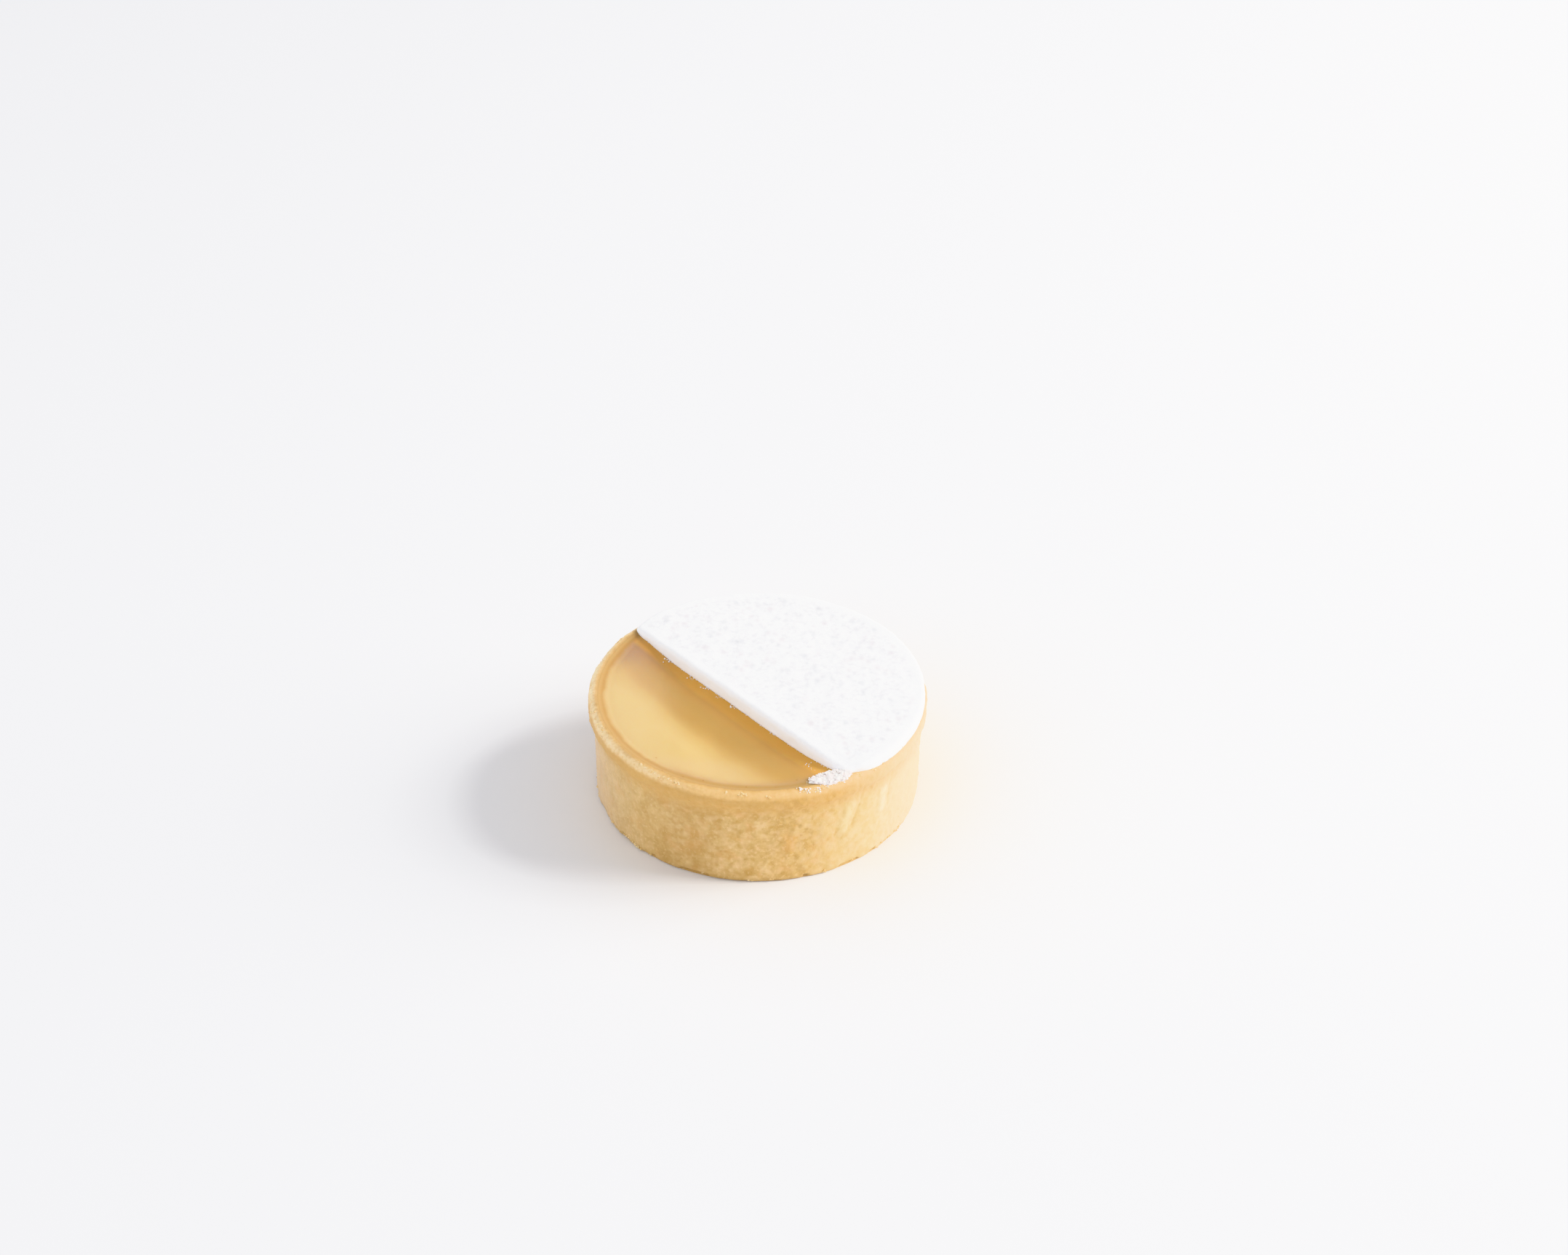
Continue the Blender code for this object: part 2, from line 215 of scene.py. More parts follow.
def closed_surface(name, rings, first_pole, last_pole, shades=None):
    """A closed mesh: four-sided faces join each ring to the next, and a fan of triangles
    joins the first and the last ring to their poles. Faces that enclose a negative volume
    are turned over. shades are values kept at each point."""
    levels, turns = rings.shape[:2]
    points = np.concatenate([rings.reshape(-1, 3), [first_pole, last_pole]])
    level, turn = np.meshgrid(np.arange(levels - 1), np.arange(turns), indexing="ij")
    after = (turn + 1) % turns
    here, there = level * turns, (level + 1) * turns
    quads = np.stack([here + turn, here + after, there + after, there + turn], -1).reshape(-1, 4)
    turn = np.arange(turns)
    after = (turn + 1) % turns
    top = (levels - 1) * turns
    first = np.stack([np.full(turns, levels * turns), after, turn], -1)
    last = np.stack([np.full(turns, levels * turns + 1), top + turn, top + after], -1)
    corners = points[quads]
    spans = np.cross(corners[:, 2] - corners[:, 0], corners[:, 3] - corners[:, 1])
    if np.einsum("ij,ij->", corners.mean(axis=1), spans) < 0:
        quads, first, last = quads[:, ::-1], first[:, ::-1], last[:, ::-1]
    mesh = bpy.data.meshes.new(name)
    mesh.from_pydata(points, [], quads.tolist() + first.tolist() + last.tolist())
    for label, values in (shades or {}).items():
        flat = np.concatenate([values.ravel(), [values[0].mean(), values[-1].mean()]])
        kept = mesh.attributes.new(label, "FLOAT", "POINT")
        kept.data.foreach_set("value", flat.astype(np.float32))
    return shown(name, mesh)


def in_scene(name, data):
    """A new object in the scene."""
    made = bpy.data.objects.new(name, data)
    bpy.context.scene.collection.objects.link(made)
    return made


def shown(name, mesh):
    """A smooth-shaded object of a mesh."""
    mesh.shade_smooth()
    return in_scene(name, mesh)


def along(points, step):
    """Points at even steps of about the given length along a line of (radius, height)."""
    points = np.array(points)
    run = np.concatenate([[0.0], np.cumsum(np.linalg.norm(np.diff(points, axis=0), axis=1))])
    count = max(2, int(round(run[-1] / step)) + 1)
    at = np.linspace(0.0, run[-1], count)
    return np.stack([np.interp(at, run, points[:, 0]), np.interp(at, run, points[:, 1])], 1)


def arc(centre, across, up, start, end):
    """(radius, height) points of an ellipse's arc, from start to end in degrees."""
    turns = np.radians(np.linspace(start, end, ARC_POINTS))
    return [(centre[0] + across * math.cos(t), centre[1] + up * math.sin(t)) for t in turns]


# -------- the case

# The crease of each pleat, from its upper to its lower end: (angle in degrees, height), and
# its strength
PLEATS = (((-52.4, 18.1 * MM), (-55.8, 11.9 * MM), 1.0),
          ((-37.6, 17.6 * MM), (-38.5, 12.3 * MM), 0.9),
          ((-62.0, 11.2 * MM), (-67.0, 6.8 * MM), 0.4))
PLEAT_WIDTH = 2.2 * MM
PLEAT_RISE = 2.4 * MM
PLEAT_FADE = 1.1 * MM
PLEAT_HEIGHT = 0.30 * MM
CREASE_WIDTH = 0.26 * MM
CREASE_DEPTH = 0.20 * MM
NOTCH_SIZE = 2.3 * MM
NOTCH_HEIGHT = 1.1 * MM
NOTCH_DEPTH = 1.0 * MM
# How steeply a notch sets in with its noise, and the noise it takes
NOTCH_GAIN = 2.4
NOTCH_LEAST = 0.20
# (size, rise) of the dough's lumps, and (size, rise, share kept) of the flakes on it
DOUGH_LUMPS = ((6.5 * MM, 0.12 * MM), (3.1 * MM, 0.13 * MM), (1.7 * MM, 0.11 * MM),
               (0.9 * MM, 0.08 * MM))
DOUGH_FLAKES = ((2.4 * MM, 0.14 * MM, 0.3), (1.25 * MM, 0.12 * MM, 0.4))
PIT_SIZE = 1.5 * MM
PIT_STRETCH = (0.7, 0.7, 2.2)
PIT_DEPTH = 0.18 * MM
PITS_KEPT = 0.06
# The crumbly bumps along the rim: heights and radii between which they set in, their size,
# rise and share kept, and how far they are sunk
CRUMBLY_HEIGHTS = (25.2 * MM, 26.0 * MM)
CRUMBLY_RADII = (38.2 * MM, 38.9 * MM)
CRUMBLY_SIZE = 1.1 * MM
CRUMBLY_RISE = 0.18 * MM
CRUMBLY_KEPT = 0.6
CRUMBLY_SINK = 0.3
# Radii between which the relief sets in, how much calmer it is on the rim's top, and radii
# between which the points begin to move with it
RELIEF_WITHIN = (38.1 * MM, 38.8 * MM)
RIM_CALM = 0.6
MOVED_WITHIN = (38.05 * MM, 38.6 * MM)
LIP_WANDER = 0.06 * MM
LIP_WANDER_SIZE = 8.0 * MM
# Points lower than this never move out
UNDERSIDE = 0.02 * MM


def case_profile():
    """The case's section as (radius, height): the hidden inside in long steps, then the rim,
    lip, wall and foot in short ones, and the underside in long ones."""
    hidden = along([(HIDDEN_START, FLOOR_HEIGHT), (FLOOR_RADIUS, FLOOR_HEIGHT),
                    (MOUTH_RADIUS, HIDDEN_END)], HIDDEN_STEP)
    inner = arc((CREST_RADIUS, MOUTH_HEIGHT), CREST_RADIUS - MOUTH_RADIUS,
                CREST_HEIGHT - MOUTH_HEIGHT, 180, 90)
    outer = arc((CREST_RADIUS, LIP_TOP), LIP_RADIUS - CREST_RADIUS, CREST_HEIGHT - LIP_TOP, 90, 0)
    heights = np.linspace(LIP_BOTTOM + LIP_ROLL, WALL_STRAIGHT_TOP, FLARE_POINTS)
    flared = smooth_step(heights, WALL_STRAIGHT_TOP, FLARE_TOP)
    rolled = smooth_step(heights, FLARE_TOP - LIP_ROLL, LIP_BOTTOM + LIP_ROLL)
    under_lip = (WALL_RADIUS + (FLARE_RADIUS - WALL_RADIUS) * flared
                 + (LIP_RADIUS - FLARE_RADIUS) * rolled)
    flare = list(zip(under_lip.tolist(), heights.tolist()))
    foot = arc((FOOT_RADIUS - FOOT_ROUND, FOOT_ROUND), FOOT_ROUND, FOOT_ROUND, 0, -90)
    seen = along([(MOUTH_RADIUS, SEEN_START)] + inner + outer[1:] + flare + foot, SEEN_STEP)
    under = along([(UNDER_START, 0.0), (HIDDEN_START, 0.0)], HIDDEN_STEP)
    return np.concatenate([hidden, seen, under])


def pleat_relief(angle, height):
    """Soft pleats pressed into the wall: each rises on its left, slopes down to its right and
    ends in a narrow crease, and fades out past its two ends."""
    relief = np.zeros_like(angle)
    for (low_angle, low), (high_angle, high), strength in PLEATS:
        share = np.clip((height - low) / (high - low), 0.0, 1.0)
        middle = np.radians(low_angle) + share * math.radians(high_angle - low_angle)
        turned = (angle - middle + math.pi) % (2.0 * math.pi) - math.pi
        across = turned * WALL_RADIUS
        past = (height - low - share * (high - low)) / PLEAT_FADE
        ends = strength * np.exp(-0.5 * past ** 2)
        rise = smooth_step(across, -PLEAT_WIDTH - PLEAT_RISE, -PLEAT_WIDTH)
        fall = 1.0 - smooth_step(across, -PLEAT_WIDTH, CREASE_WIDTH)
        relief += PLEAT_HEIGHT * rise * fall * ends
        crease = np.exp(-0.5 * ((across - CREASE_WIDTH) / CREASE_WIDTH) ** 2)
        relief -= CREASE_DEPTH * crease * ends
    return relief


def case_relief(points):
    """How far the case's surface stands out or in at each point: broad and small lumps, raised
    flakes, small pits that lie level, the pleats, notches broken out of the foot and crumbly
    bumps along the rim. It sets in beyond the rim's crest and is calmer on the rim's top."""
    radius = np.hypot(points[..., 0], points[..., 1])
    angle = np.arctan2(points[..., 1], points[..., 0])
    height = points[..., 2]
    wall = (smooth_step(radius, *RELIEF_WITHIN)
            * (1.0 - RIM_CALM * smooth_step(height, LIP_TOP, CREST_HEIGHT)))
    shift = layered(soft_noise, points, DOUGH_LUMPS, 0)
    shift += layered(pebbles, points, DOUGH_FLAKES, 10)
    shift -= PIT_DEPTH * pebbles(points * np.array(PIT_STRETCH), PIT_SIZE, 7, PITS_KEPT)
    shift += pleat_relief(angle, height)
    notch = soft_noise(points * np.array([1.0, 1.0, 0.0]), NOTCH_SIZE, 8)
    notch = np.clip(NOTCH_GAIN * notch - NOTCH_LEAST, 0.0, 1.0)
    foot = 1.0 - smooth_step(height, 0.3 * NOTCH_HEIGHT, NOTCH_HEIGHT * (0.7 + 0.6 * notch))
    shift -= NOTCH_DEPTH * notch * foot
    crumbly = smooth_step(height, *CRUMBLY_HEIGHTS) * smooth_step(radius, *CRUMBLY_RADII)
    bumps = pebbles(points, CRUMBLY_SIZE, 9, CRUMBLY_KEPT) - CRUMBLY_SINK
    shift += CRUMBLY_RISE * crumbly * bumps
    return shift * wall


def make_case():
    """The case: its section carried round the axis, and each point beyond the rim's crest
    moved along the normal by the relief. The lip swells and thins with the angle."""
    profile = case_profile()
    turns = even_turns(CASE_TURNS)
    rings = polar(profile[:, 0, None], turns, profile[:, 1, None])
    lip = smooth_step(rings[..., 2], FLARE_TOP - LIP_ROLL, LIP_BOTTOM)
    swell = soft_noise(polar(LIP_RADIUS, turns, 0.0), LIP_WANDER_SIZE, 9)
    relief = case_relief(rings) + LIP_WANDER * swell * lip
    relief = np.where(rings[..., 2] < UNDERSIDE, np.minimum(relief, 0.0), relief)
    normals = grid_normals(rings)
    if normals[len(profile) // 2, 0] @ rings[len(profile) // 2, 0] < 0:
        normals = -normals
    outside = smooth_step(np.hypot(rings[..., 0], rings[..., 1]), *MOVED_WITHIN)
    normals[rings[..., 2] < FOOT_ROUND, 2] = 0.0
    rings = rings + normals * (relief * outside)[..., None]
    rings[..., 2] = np.maximum(rings[..., 2], 0.0)
    pleats = pleat_relief(np.arctan2(rings[..., 1], rings[..., 0]), rings[..., 2])
    return closed_surface("baked_case", rings, (0.0, 0.0, FLOOR_HEIGHT), (0.0, 0.0, 0.0),
                          {"stands_out": relief / MM, "pleat": pleats / MM})


# -------- the curd

def rim_top(radius):
    """Height of the rim's top at a radius: a quarter of an ellipse up to its crest and one
    down from it, and zero inside the mouth."""
    inner = radius < CREST_RADIUS
    reach = np.where(inner, CREST_RADIUS - MOUTH_RADIUS, LIP_RADIUS - CREST_RADIUS)
    base = np.where(inner, MOUTH_HEIGHT, LIP_TOP)
    left = np.clip(1.0 - ((radius - CREST_RADIUS) / reach) ** 2, 0.0, 1.0)
    return np.where(radius < MOUTH_RADIUS, 0.0, base + (CREST_HEIGHT - base) * np.sqrt(left))


def curd_top(x, y):
    """Height of the curd: level in the middle with slow, slight unevenness, drawn up towards
    the case, then a curve that climbs by a power of the distance until it meets the rim, and
    past that a thin film on the rim whose edge dives under the rim's surface."""
    radius = np.hypot(x, y)
    flat = np.stack([x, y, np.zeros_like(x)], axis=-1)
    height = CURD_LOW + CURD_RISE * smooth_step(radius, CURD_RISE_FROM, MOUTH_RADIUS)
    uneven = layered(soft_noise, flat, CURD_SWELLS, 21) * MM
    height = height + uneven * (1.0 - smooth_step(radius, *CURD_CALM))
    share = np.clip((radius - CLIMB_FROM) / (CLIMB_TO - CLIMB_FROM), 0.0, 1.0)
    meets = rim_top(np.array(CLIMB_TO)) - CURD_LOW - CURD_RISE
    height = height + (meets + CURD_FILM) * share ** CLIMB_POWER
    dive = CURD_FILM - (CURD_FILM + CURD_DIVE) * smooth_step(radius, CLIMB_TO, CURD_EDGE)
    return np.where(radius > CLIMB_TO, rim_top(radius) + dive, height)


def make_curd():
    """The curd: rings from the middle of its top to its edge, then down its side."""
    radii = np.concatenate([np.linspace(*rings) for rings in CURD_RINGS])
    turns = even_turns(CURD_TURNS)
    top = polar(radii[:, None], turns, 0.0)
    top[..., 2] = curd_top(top[..., 0], top[..., 1])
    rings = np.concatenate([top, [polar(radius, turns, height) for radius, height in CURD_BELOW]])
    middle = float(curd_top(np.zeros(1), np.zeros(1))[0])
    return closed_surface("lemon_curd", rings, (0.0, 0.0, middle), (0.0, 0.0, CURD_BELOW[-1][1]))


# -------- the icing sugar

def bed_height(x, y):
    """Height of what the icing sugar lies on: the curd, or the case's rim."""
    return np.maximum(curd_top(x, y), rim_top(np.hypot(x, y)))


def sugar_outline(angle, inset):
    """Distance of the sugar's edge from its own centre: its circle and the cut, both moved in
    by the inset and blended at the corners by a high power."""
    out_x, out_y = np.cos(angle), np.sin(angle)
    cut_x, cut_y = math.cos(CUT_FACES), math.sin(CUT_FACES)
    centre_x, centre_y = -SUGAR_CENTRE * cut_x, -SUGAR_CENTRE * cut_y
    off_x, off_y = centre_x - SUGAR_SHIFT[0], centre_y - SUGAR_SHIFT[1]
    towards = off_x * out_x + off_y * out_y
    circle = SUGAR_RADIUS - inset
    to_circle = -towards + np.sqrt(circle ** 2 - off_x ** 2 - off_y ** 2 + towards ** 2)
    facing_cut = np.maximum(out_x * cut_x + out_y * cut_y, NEVER_FACING)
    to_cut = (CUT_OFFSET - inset + SUGAR_CENTRE) / facing_cut
    power = -CORNER_SHARPNESS
    distance = to_circle * (1.0 + (to_cut / to_circle) ** power) ** (1.0 / power)
    return centre_x, centre_y, distance


def corner_wear(x, y):
    """How far the top sinks at a point, and the share of its reach that is lost there: a bell
    curve round each worn corner."""
    drop = np.zeros_like(x)
    loss = np.zeros_like(x)
    for angle, sinks, lost in CORNERS:
        turn = math.radians(angle)
        away = np.hypot(x - SUGAR_RADIUS * math.cos(turn), y - SUGAR_RADIUS * math.sin(turn))
        near = np.exp(-((away / CORNER_SPREAD) ** 2))
        drop = drop + sinks * near
        loss = loss + lost * near
    return drop, loss


def even_angles():
    """Angles that space the outline's points evenly along its length."""
    fine = np.linspace(0.0, 2.0 * math.pi, OUTLINE_POINTS)
    _, _, distance = sugar_outline(fine, 0.0)
    run = np.hypot(np.diff(distance * np.cos(fine)), np.diff(distance * np.sin(fine)))
    length = np.concatenate([[0.0], np.cumsum(run)])
    return np.interp(np.arange(SUGAR_TURNS) * length[-1] / SUGAR_TURNS, length, fine)


def sugar_place(angles, inset, share):
    """(x, y) of one ring of the layer, moved in at the worn corners, and how far it sinks."""
    centre_x, centre_y, distance = sugar_outline(angles, inset)
    reach_x = share * distance * np.cos(angles)
    reach_y = share * distance * np.sin(angles)
    drop, loss = corner_wear(centre_x + reach_x, centre_y + reach_y)
    return centre_x + reach_x * (1.0 - loss), centre_y + reach_y * (1.0 - loss), drop


def layer_top(y, drop):
    """Height of the layer's top: it falls evenly towards the back, and sinks at the corners."""
    return SUGAR_TOP - SUGAR_FALL * y / SUGAR_RADIUS - drop


def make_sugar():
    """The layer: rings out along its underside, up its side, over its rounded edge and in
    over its top. Each point is then moved along the normal by a slow swell, and by a grain
    that is full on the open top and weaker along the edge. open_top keeps where the top is
    open, and low_side where the side is."""
    angles = even_angles()
    rings, values = [], []

    def add(x, y, height, rough, opened=0.0, low=0.0):
        rings.append(np.stack([x, y, height], -1))
        values.append((rough, opened, low))

    for inset, share in SUGAR_UNDER:
        x, y, _ = sugar_place(angles, inset, share)
        add(x, y, bed_height(x, y) - SUGAR_SINK, 0.0, low=1.0)
    x, y, drop = sugar_place(angles, 0.0, 1.0)
    bed = bed_height(x, y) - SUGAR_SINK
    shoulder = np.maximum(layer_top(y, drop) - SUGAR_ROUND, bed + LEAST_SIDE)
    for rise in np.linspace(0.0, 1.0, SIDE_RINGS):
        add(x, y, bed + rise * (shoulder - bed), SIDE_GRAIN, low=min(1.0, 0.5 + rise))
    for turn in np.radians(np.linspace(0.0, 90.0, EDGE_RINGS))[1:]:
        x, y, drop = sugar_place(angles, SUGAR_ROUND * (1.0 - math.cos(turn)), 1.0)
        height = shoulder + (layer_top(y, drop) - shoulder) * math.sin(turn)
        add(x, y, height, EDGE_GRAIN, low=max(0.0, 1.0 - 4.0 * turn / math.pi))
    for inset in np.arange(SUGAR_ROUND + TOP_STEP, TOP_INSET, TOP_STEP):
        x, y, drop = sugar_place(angles, inset, 1.0)
        opened = smooth_step(inset, *OPEN_WITHIN)
        rough = TOP_EDGE_GRAIN + (1.0 - TOP_EDGE_GRAIN) * opened
        add(x, y, layer_top(y, drop), rough, opened)
    for share in np.linspace(1.0, TOP_LEAST_SHARE, TOP_RINGS)[1:]:
        x, y, drop = sugar_place(angles, TOP_INSET, share)
        add(x, y, layer_top(y, drop), 1.0, 1.0)
    rings = np.array(rings)
    rough, opened, low = np.array(values).T[..., None] * np.ones(SUGAR_TURNS)
    normals = grid_normals(rings)
    if normals[-20, :, 2].mean() < 0:
        normals = -normals
    relief = (layered(soft_noise, rings, SUGAR_GRAIN, 32) * rough
              + layered(soft_noise, rings, SUGAR_SWELL, 34))
    moved = rings + normals * (relief * (rough > 0.0))[..., None] * MM
    return closed_surface("sifted_sugar", moved, moved[0].mean(axis=0), moved[-1].mean(axis=0),
                          {"open_top": opened, "low_side": low})


# -------- lumps and crumbs

# The furthest that a lump's points lie from its middle, in lump sizes
LUMP_REACH = 1.6
# The heap of spilled sugar at the cut's front end
HEAP_ANGLES = (-70.7, -54.8)
HEAP_RADII = (35.2 * MM, 39.8 * MM)
HEAP_WIDENING = -0.06
HEAP_WANDER = 0.11
HEAP_WANDER_SIZE = 0.22
HEAP_HEIGHT = 0.85 * MM
HEAP_TIP_SHIFT = 1.2 * MM
HEAP_TIP_SHARE = 0.6
# Shares of the oval at its underside's rings, how deep that lies in the bed, and the first
# angle, last angle and count of its arch's rings
HEAP_UNDER = (0.2, 0.6, 0.95, 1.0)
HEAP_SINK = 0.1 * MM
HEAP_ARCH = (4.0, 88.0, 34)
# (size, rise in mm, share kept) of its bumps, and how fast they grow in from its edge
HEAP_BUMPS = ((1.35 * MM, 0.80, 0.8), (0.6 * MM, 0.25, 0.8))
HEAP_BUMPS_GROW = 1.6
HEAP_TURNS = 240
SPILL_COUNT = 180
# Clusters of crumbs at the foot of the cut: (run along it, spread outwards, count), in mm
CUT_CLUSTERS = ((-24.3, 0.5, 9), (-15.3, 0.55, 12), (-10.6, 0.3, 6), (-5.4, 0.5, 4),
                (0.0, 0.3, 6), (14.0, 0.3, 4))
# Clusters of crumbs on the rim beside the heap: (degrees, radius in mm, count)
RIM_CLUSTERS = ((-75.0, 38.6, 8), (-72.6, 39.0, 9), (-68.8, 39.3, 12))
# Dust along the cut: its reach to both sides in mm, and its count
DUST_REACH = 33.0
DUST_COUNT = 70
# Specks on the rim beside the heap, and on the curd: (degrees, radii in mm, count)
RIM_SPECKS = ((-73.0, -58.0), (38.8, 39.7), 34)
CURD_SPECKS = ((-68.0, -63.5), (28.5, 32.5), 8)
# Crumbs of crust on the rim, on the wall and by the foot: (count, smallest, largest) in mm
CRUST_CRUMBS = ((420, 0.14, 0.34), (90, 0.06, 0.16), (130, 0.12, 0.40))
RIM_CRUMB_CLUSTERS = 90
FOOT_CRUMB_CLUSTERS = 44
RIM_CRUMB_SINK = 0.14 * MM


def lump_shape(turns, levels):
    """Points and faces of one small ball with few faces: levels of rings between two poles."""
    theta = np.linspace(0.0, math.pi, levels + 2)[1:-1]
    ring = polar(np.sin(theta)[:, None], even_turns(turns), np.cos(theta)[:, None])
    points = np.concatenate([ring.reshape(-1, 3), [(0, 0, 1), (0, 0, -1)]])
    faces = []
    top, bottom = levels * turns, levels * turns + 1
    for turn in range(turns):
        after = (turn + 1) % turns
        faces.append((top, turn, after))
        for level in range(levels - 1):
            here, there = level * turns, (level + 1) * turns
            faces.append((here + turn, there + turn, there + after))
            faces.append((here + turn, there + after, here + after))
        faces.append((bottom, (levels - 1) * turns + after, (levels - 1) * turns + turn))
    return points, np.array(faces)


def scattered(name, places, sizes, seed, squash, turns, levels, jag=0.28):
    """Many small lumps joined in one mesh: each is the ball made uneven by a random factor at
    each of its points, stretched and turned at random, flattened, sized and set in place."""
    draw = np.random.default_rng(seed)
    ball, faces = lump_shape(turns, levels)
    count = len(places)
    uneven = draw.uniform(1.0 - jag, 1.0 + jag, (count, len(ball), 1))
    stretch = draw.uniform(0.7, 1.3, (count, 1, 3))
    spin = draw.normal(size=(count, 4))
    spin /= np.linalg.norm(spin, axis=1, keepdims=True)
    w, x, y, z = spin.T
    turn = np.stack([
        np.stack([1 - 2 * (y * y + z * z), 2 * (x * y - w * z), 2 * (x * z + w * y)], -1),
        np.stack([2 * (x * y + w * z), 1 - 2 * (x * x + z * z), 2 * (y * z - w * x)], -1),
        np.stack([2 * (x * z - w * y), 2 * (y * z + w * x), 1 - 2 * (x * x + y * y)], -1)], 1)
    points = np.einsum("nij,nkj->nki", turn, ball * uneven * stretch)
    points[..., 2] *= squash
    points = points * sizes[:, None, None] + places[:, None, :]
    joined = (faces[None] + (np.arange(count) * len(ball))[:, None, None]).reshape(-1, 3)
    mesh = bpy.data.meshes.new(name)
    mesh.from_pydata(points.reshape(-1, 3), [], joined.tolist())
    return shown(name, mesh)


def on_tart(angle, radius):
    """Points of the bed, the curd or the rim, at an angle in degrees and a radius."""
    x = radius * np.cos(np.radians(angle))
    y = radius * np.sin(np.radians(angle))
    return np.stack([x, y, bed_height(x, y)], -1)


def heap_place(share, turns):
    """(x, y) and height of one ring of the heap: an oval that bends with the rim, under a low
    arch that is taller towards the cut."""
    wander = soft_noise(polar(1.0, turns, 0.0), HEAP_WANDER_SIZE, 53)
    reach = share * (1.0 + HEAP_WANDER * wander)
    along_heap = reach * np.cos(turns)
    across = reach * np.sin(turns)
    start, end = HEAP_ANGLES
    angle = np.radians((start + end) / 2.0 + along_heap * (end - start) / 2.0)
    width = (1.0 + HEAP_WIDENING * along_heap) * (HEAP_RADII[1] - HEAP_RADII[0])
    radius = np.mean(HEAP_RADII) + across * width / 2.0
    radius = radius - HEAP_TIP_SHIFT * (1.0 - along_heap) / 2.0
    taper = HEAP_TIP_SHARE + (1.0 - HEAP_TIP_SHARE) * (1.0 + along_heap) / 2.0
    x, y = radius * np.cos(angle), radius * np.sin(angle)
    return x, y, HEAP_HEIGHT * taper * np.sqrt(np.clip(1.0 - share ** 2, 0.0, 1.0))


def make_heap():
    """The core of the spilled sugar: rings of the heap's oval out along the bed and back over
    its arch, with rounded bumps on the arch."""
    turns = even_turns(HEAP_TURNS)
    rings = []
    for share in HEAP_UNDER:
        x, y, _ = heap_place(np.full_like(turns, share), turns)
        rings.append(np.stack([x, y, bed_height(x, y) - HEAP_SINK], -1))
    for share in np.cos(np.radians(np.linspace(*HEAP_ARCH))):
        x, y, arch = heap_place(np.full_like(turns, share), turns)
        flat = np.stack([x, y, 0.0 * x], -1)
        bumps = layered(pebbles, flat, HEAP_BUMPS, 51) * MM
        bumps = bumps * min(1.0, HEAP_BUMPS_GROW * math.sqrt(1.0 - share ** 2))
        rings.append(np.stack([x, y, bed_height(x, y) + arch + bumps], -1))
    rings = np.array(rings)
    return closed_surface("spilled_sugar", rings, rings[0].mean(axis=0), rings[-1].mean(axis=0))


def make_spill():
    """Lumps of sugar on the heap and round its edge: their places in the heap's oval are
    random, and those past its edge are smaller and lie on the bed."""
    draw = np.random.default_rng(41)
    share = draw.uniform(0.0, 1.0, SPILL_COUNT) ** 0.4 * draw.uniform(0.9, 1.14, SPILL_COUNT)
    turns = draw.uniform(0.0, 2.0 * math.pi, SPILL_COUNT)
    x, y, arch = heap_place(share, turns)
    sizes = draw.uniform(0.14, 0.50, SPILL_COUNT) * MM * (0.85 + 0.25 * np.cos(turns) * share)
    sizes = np.where(share > 1.0, 0.45 * sizes, sizes)
    lifted = (0.3 * draw.uniform(0.0, 1.0, SPILL_COUNT) * MM) * (share < 1.0)
    places = np.stack([x, y, bed_height(x, y) + arch + lifted], -1)
    return scattered("sugar_lumps", places, sizes, 42, 0.9, 9, 5, 0.18)


def by_cut(run, out):
    """Points of the curd by the foot of the cut: so far along it, and so far out from it."""
    x = -run * math.sin(CUT_FACES) + (CUT_OFFSET + out) * math.cos(CUT_FACES)
    y = run * math.cos(CUT_FACES) + (CUT_OFFSET + out) * math.sin(CUT_FACES)
    return np.stack([x, y, curd_top(x, y)], -1)


def make_sugar_crumbs():
    """Loose crumbs of sugar: a few small clusters at the foot of the cut, dust along it, specks
    over the rim beside the heap, and a few on the curd."""
    draw = np.random.default_rng(43)
    places, sizes = [], []

    def add(points, smallest, largest):
        places.append(points)
        sizes.append(draw.uniform(smallest, largest, len(points)) * MM)

    for run, out, count in CUT_CLUSTERS:
        add(by_cut(draw.normal(run, 0.55, count) * MM, draw.exponential(out, count) * MM),
            0.08, 0.22)
    add(by_cut(draw.uniform(-DUST_REACH, DUST_REACH, DUST_COUNT) * MM,
               draw.exponential(0.07, DUST_COUNT) * MM), 0.05, 0.13)
    for angle, radius, count in RIM_CLUSTERS:
        add(on_tart(draw.normal(angle, 0.7, count), draw.normal(radius, 0.3, count) * MM),
            0.08, 0.26)
    for (angles, radii, count), smallest in ((RIM_SPECKS, 0.06), (CURD_SPECKS, 0.08)):
        add(on_tart(draw.uniform(*angles, count), draw.uniform(*radii, count) * MM),
            smallest, 0.18)
    places, sizes = np.concatenate(places), np.concatenate(sizes)
    places[:, 2] += 0.3 * sizes
    return scattered("sugar_crumbs", places, sizes, 44, 0.8, 6, 3)


def case_surface(angle, height, radius):
    """Points of the finished case at angles in degrees: its outline moved by the relief."""
    turn = np.radians(angle)
    points = polar(radius, turn, height)
    return points + polar(1.0, turn, 0.0) * case_relief(points)[:, None]


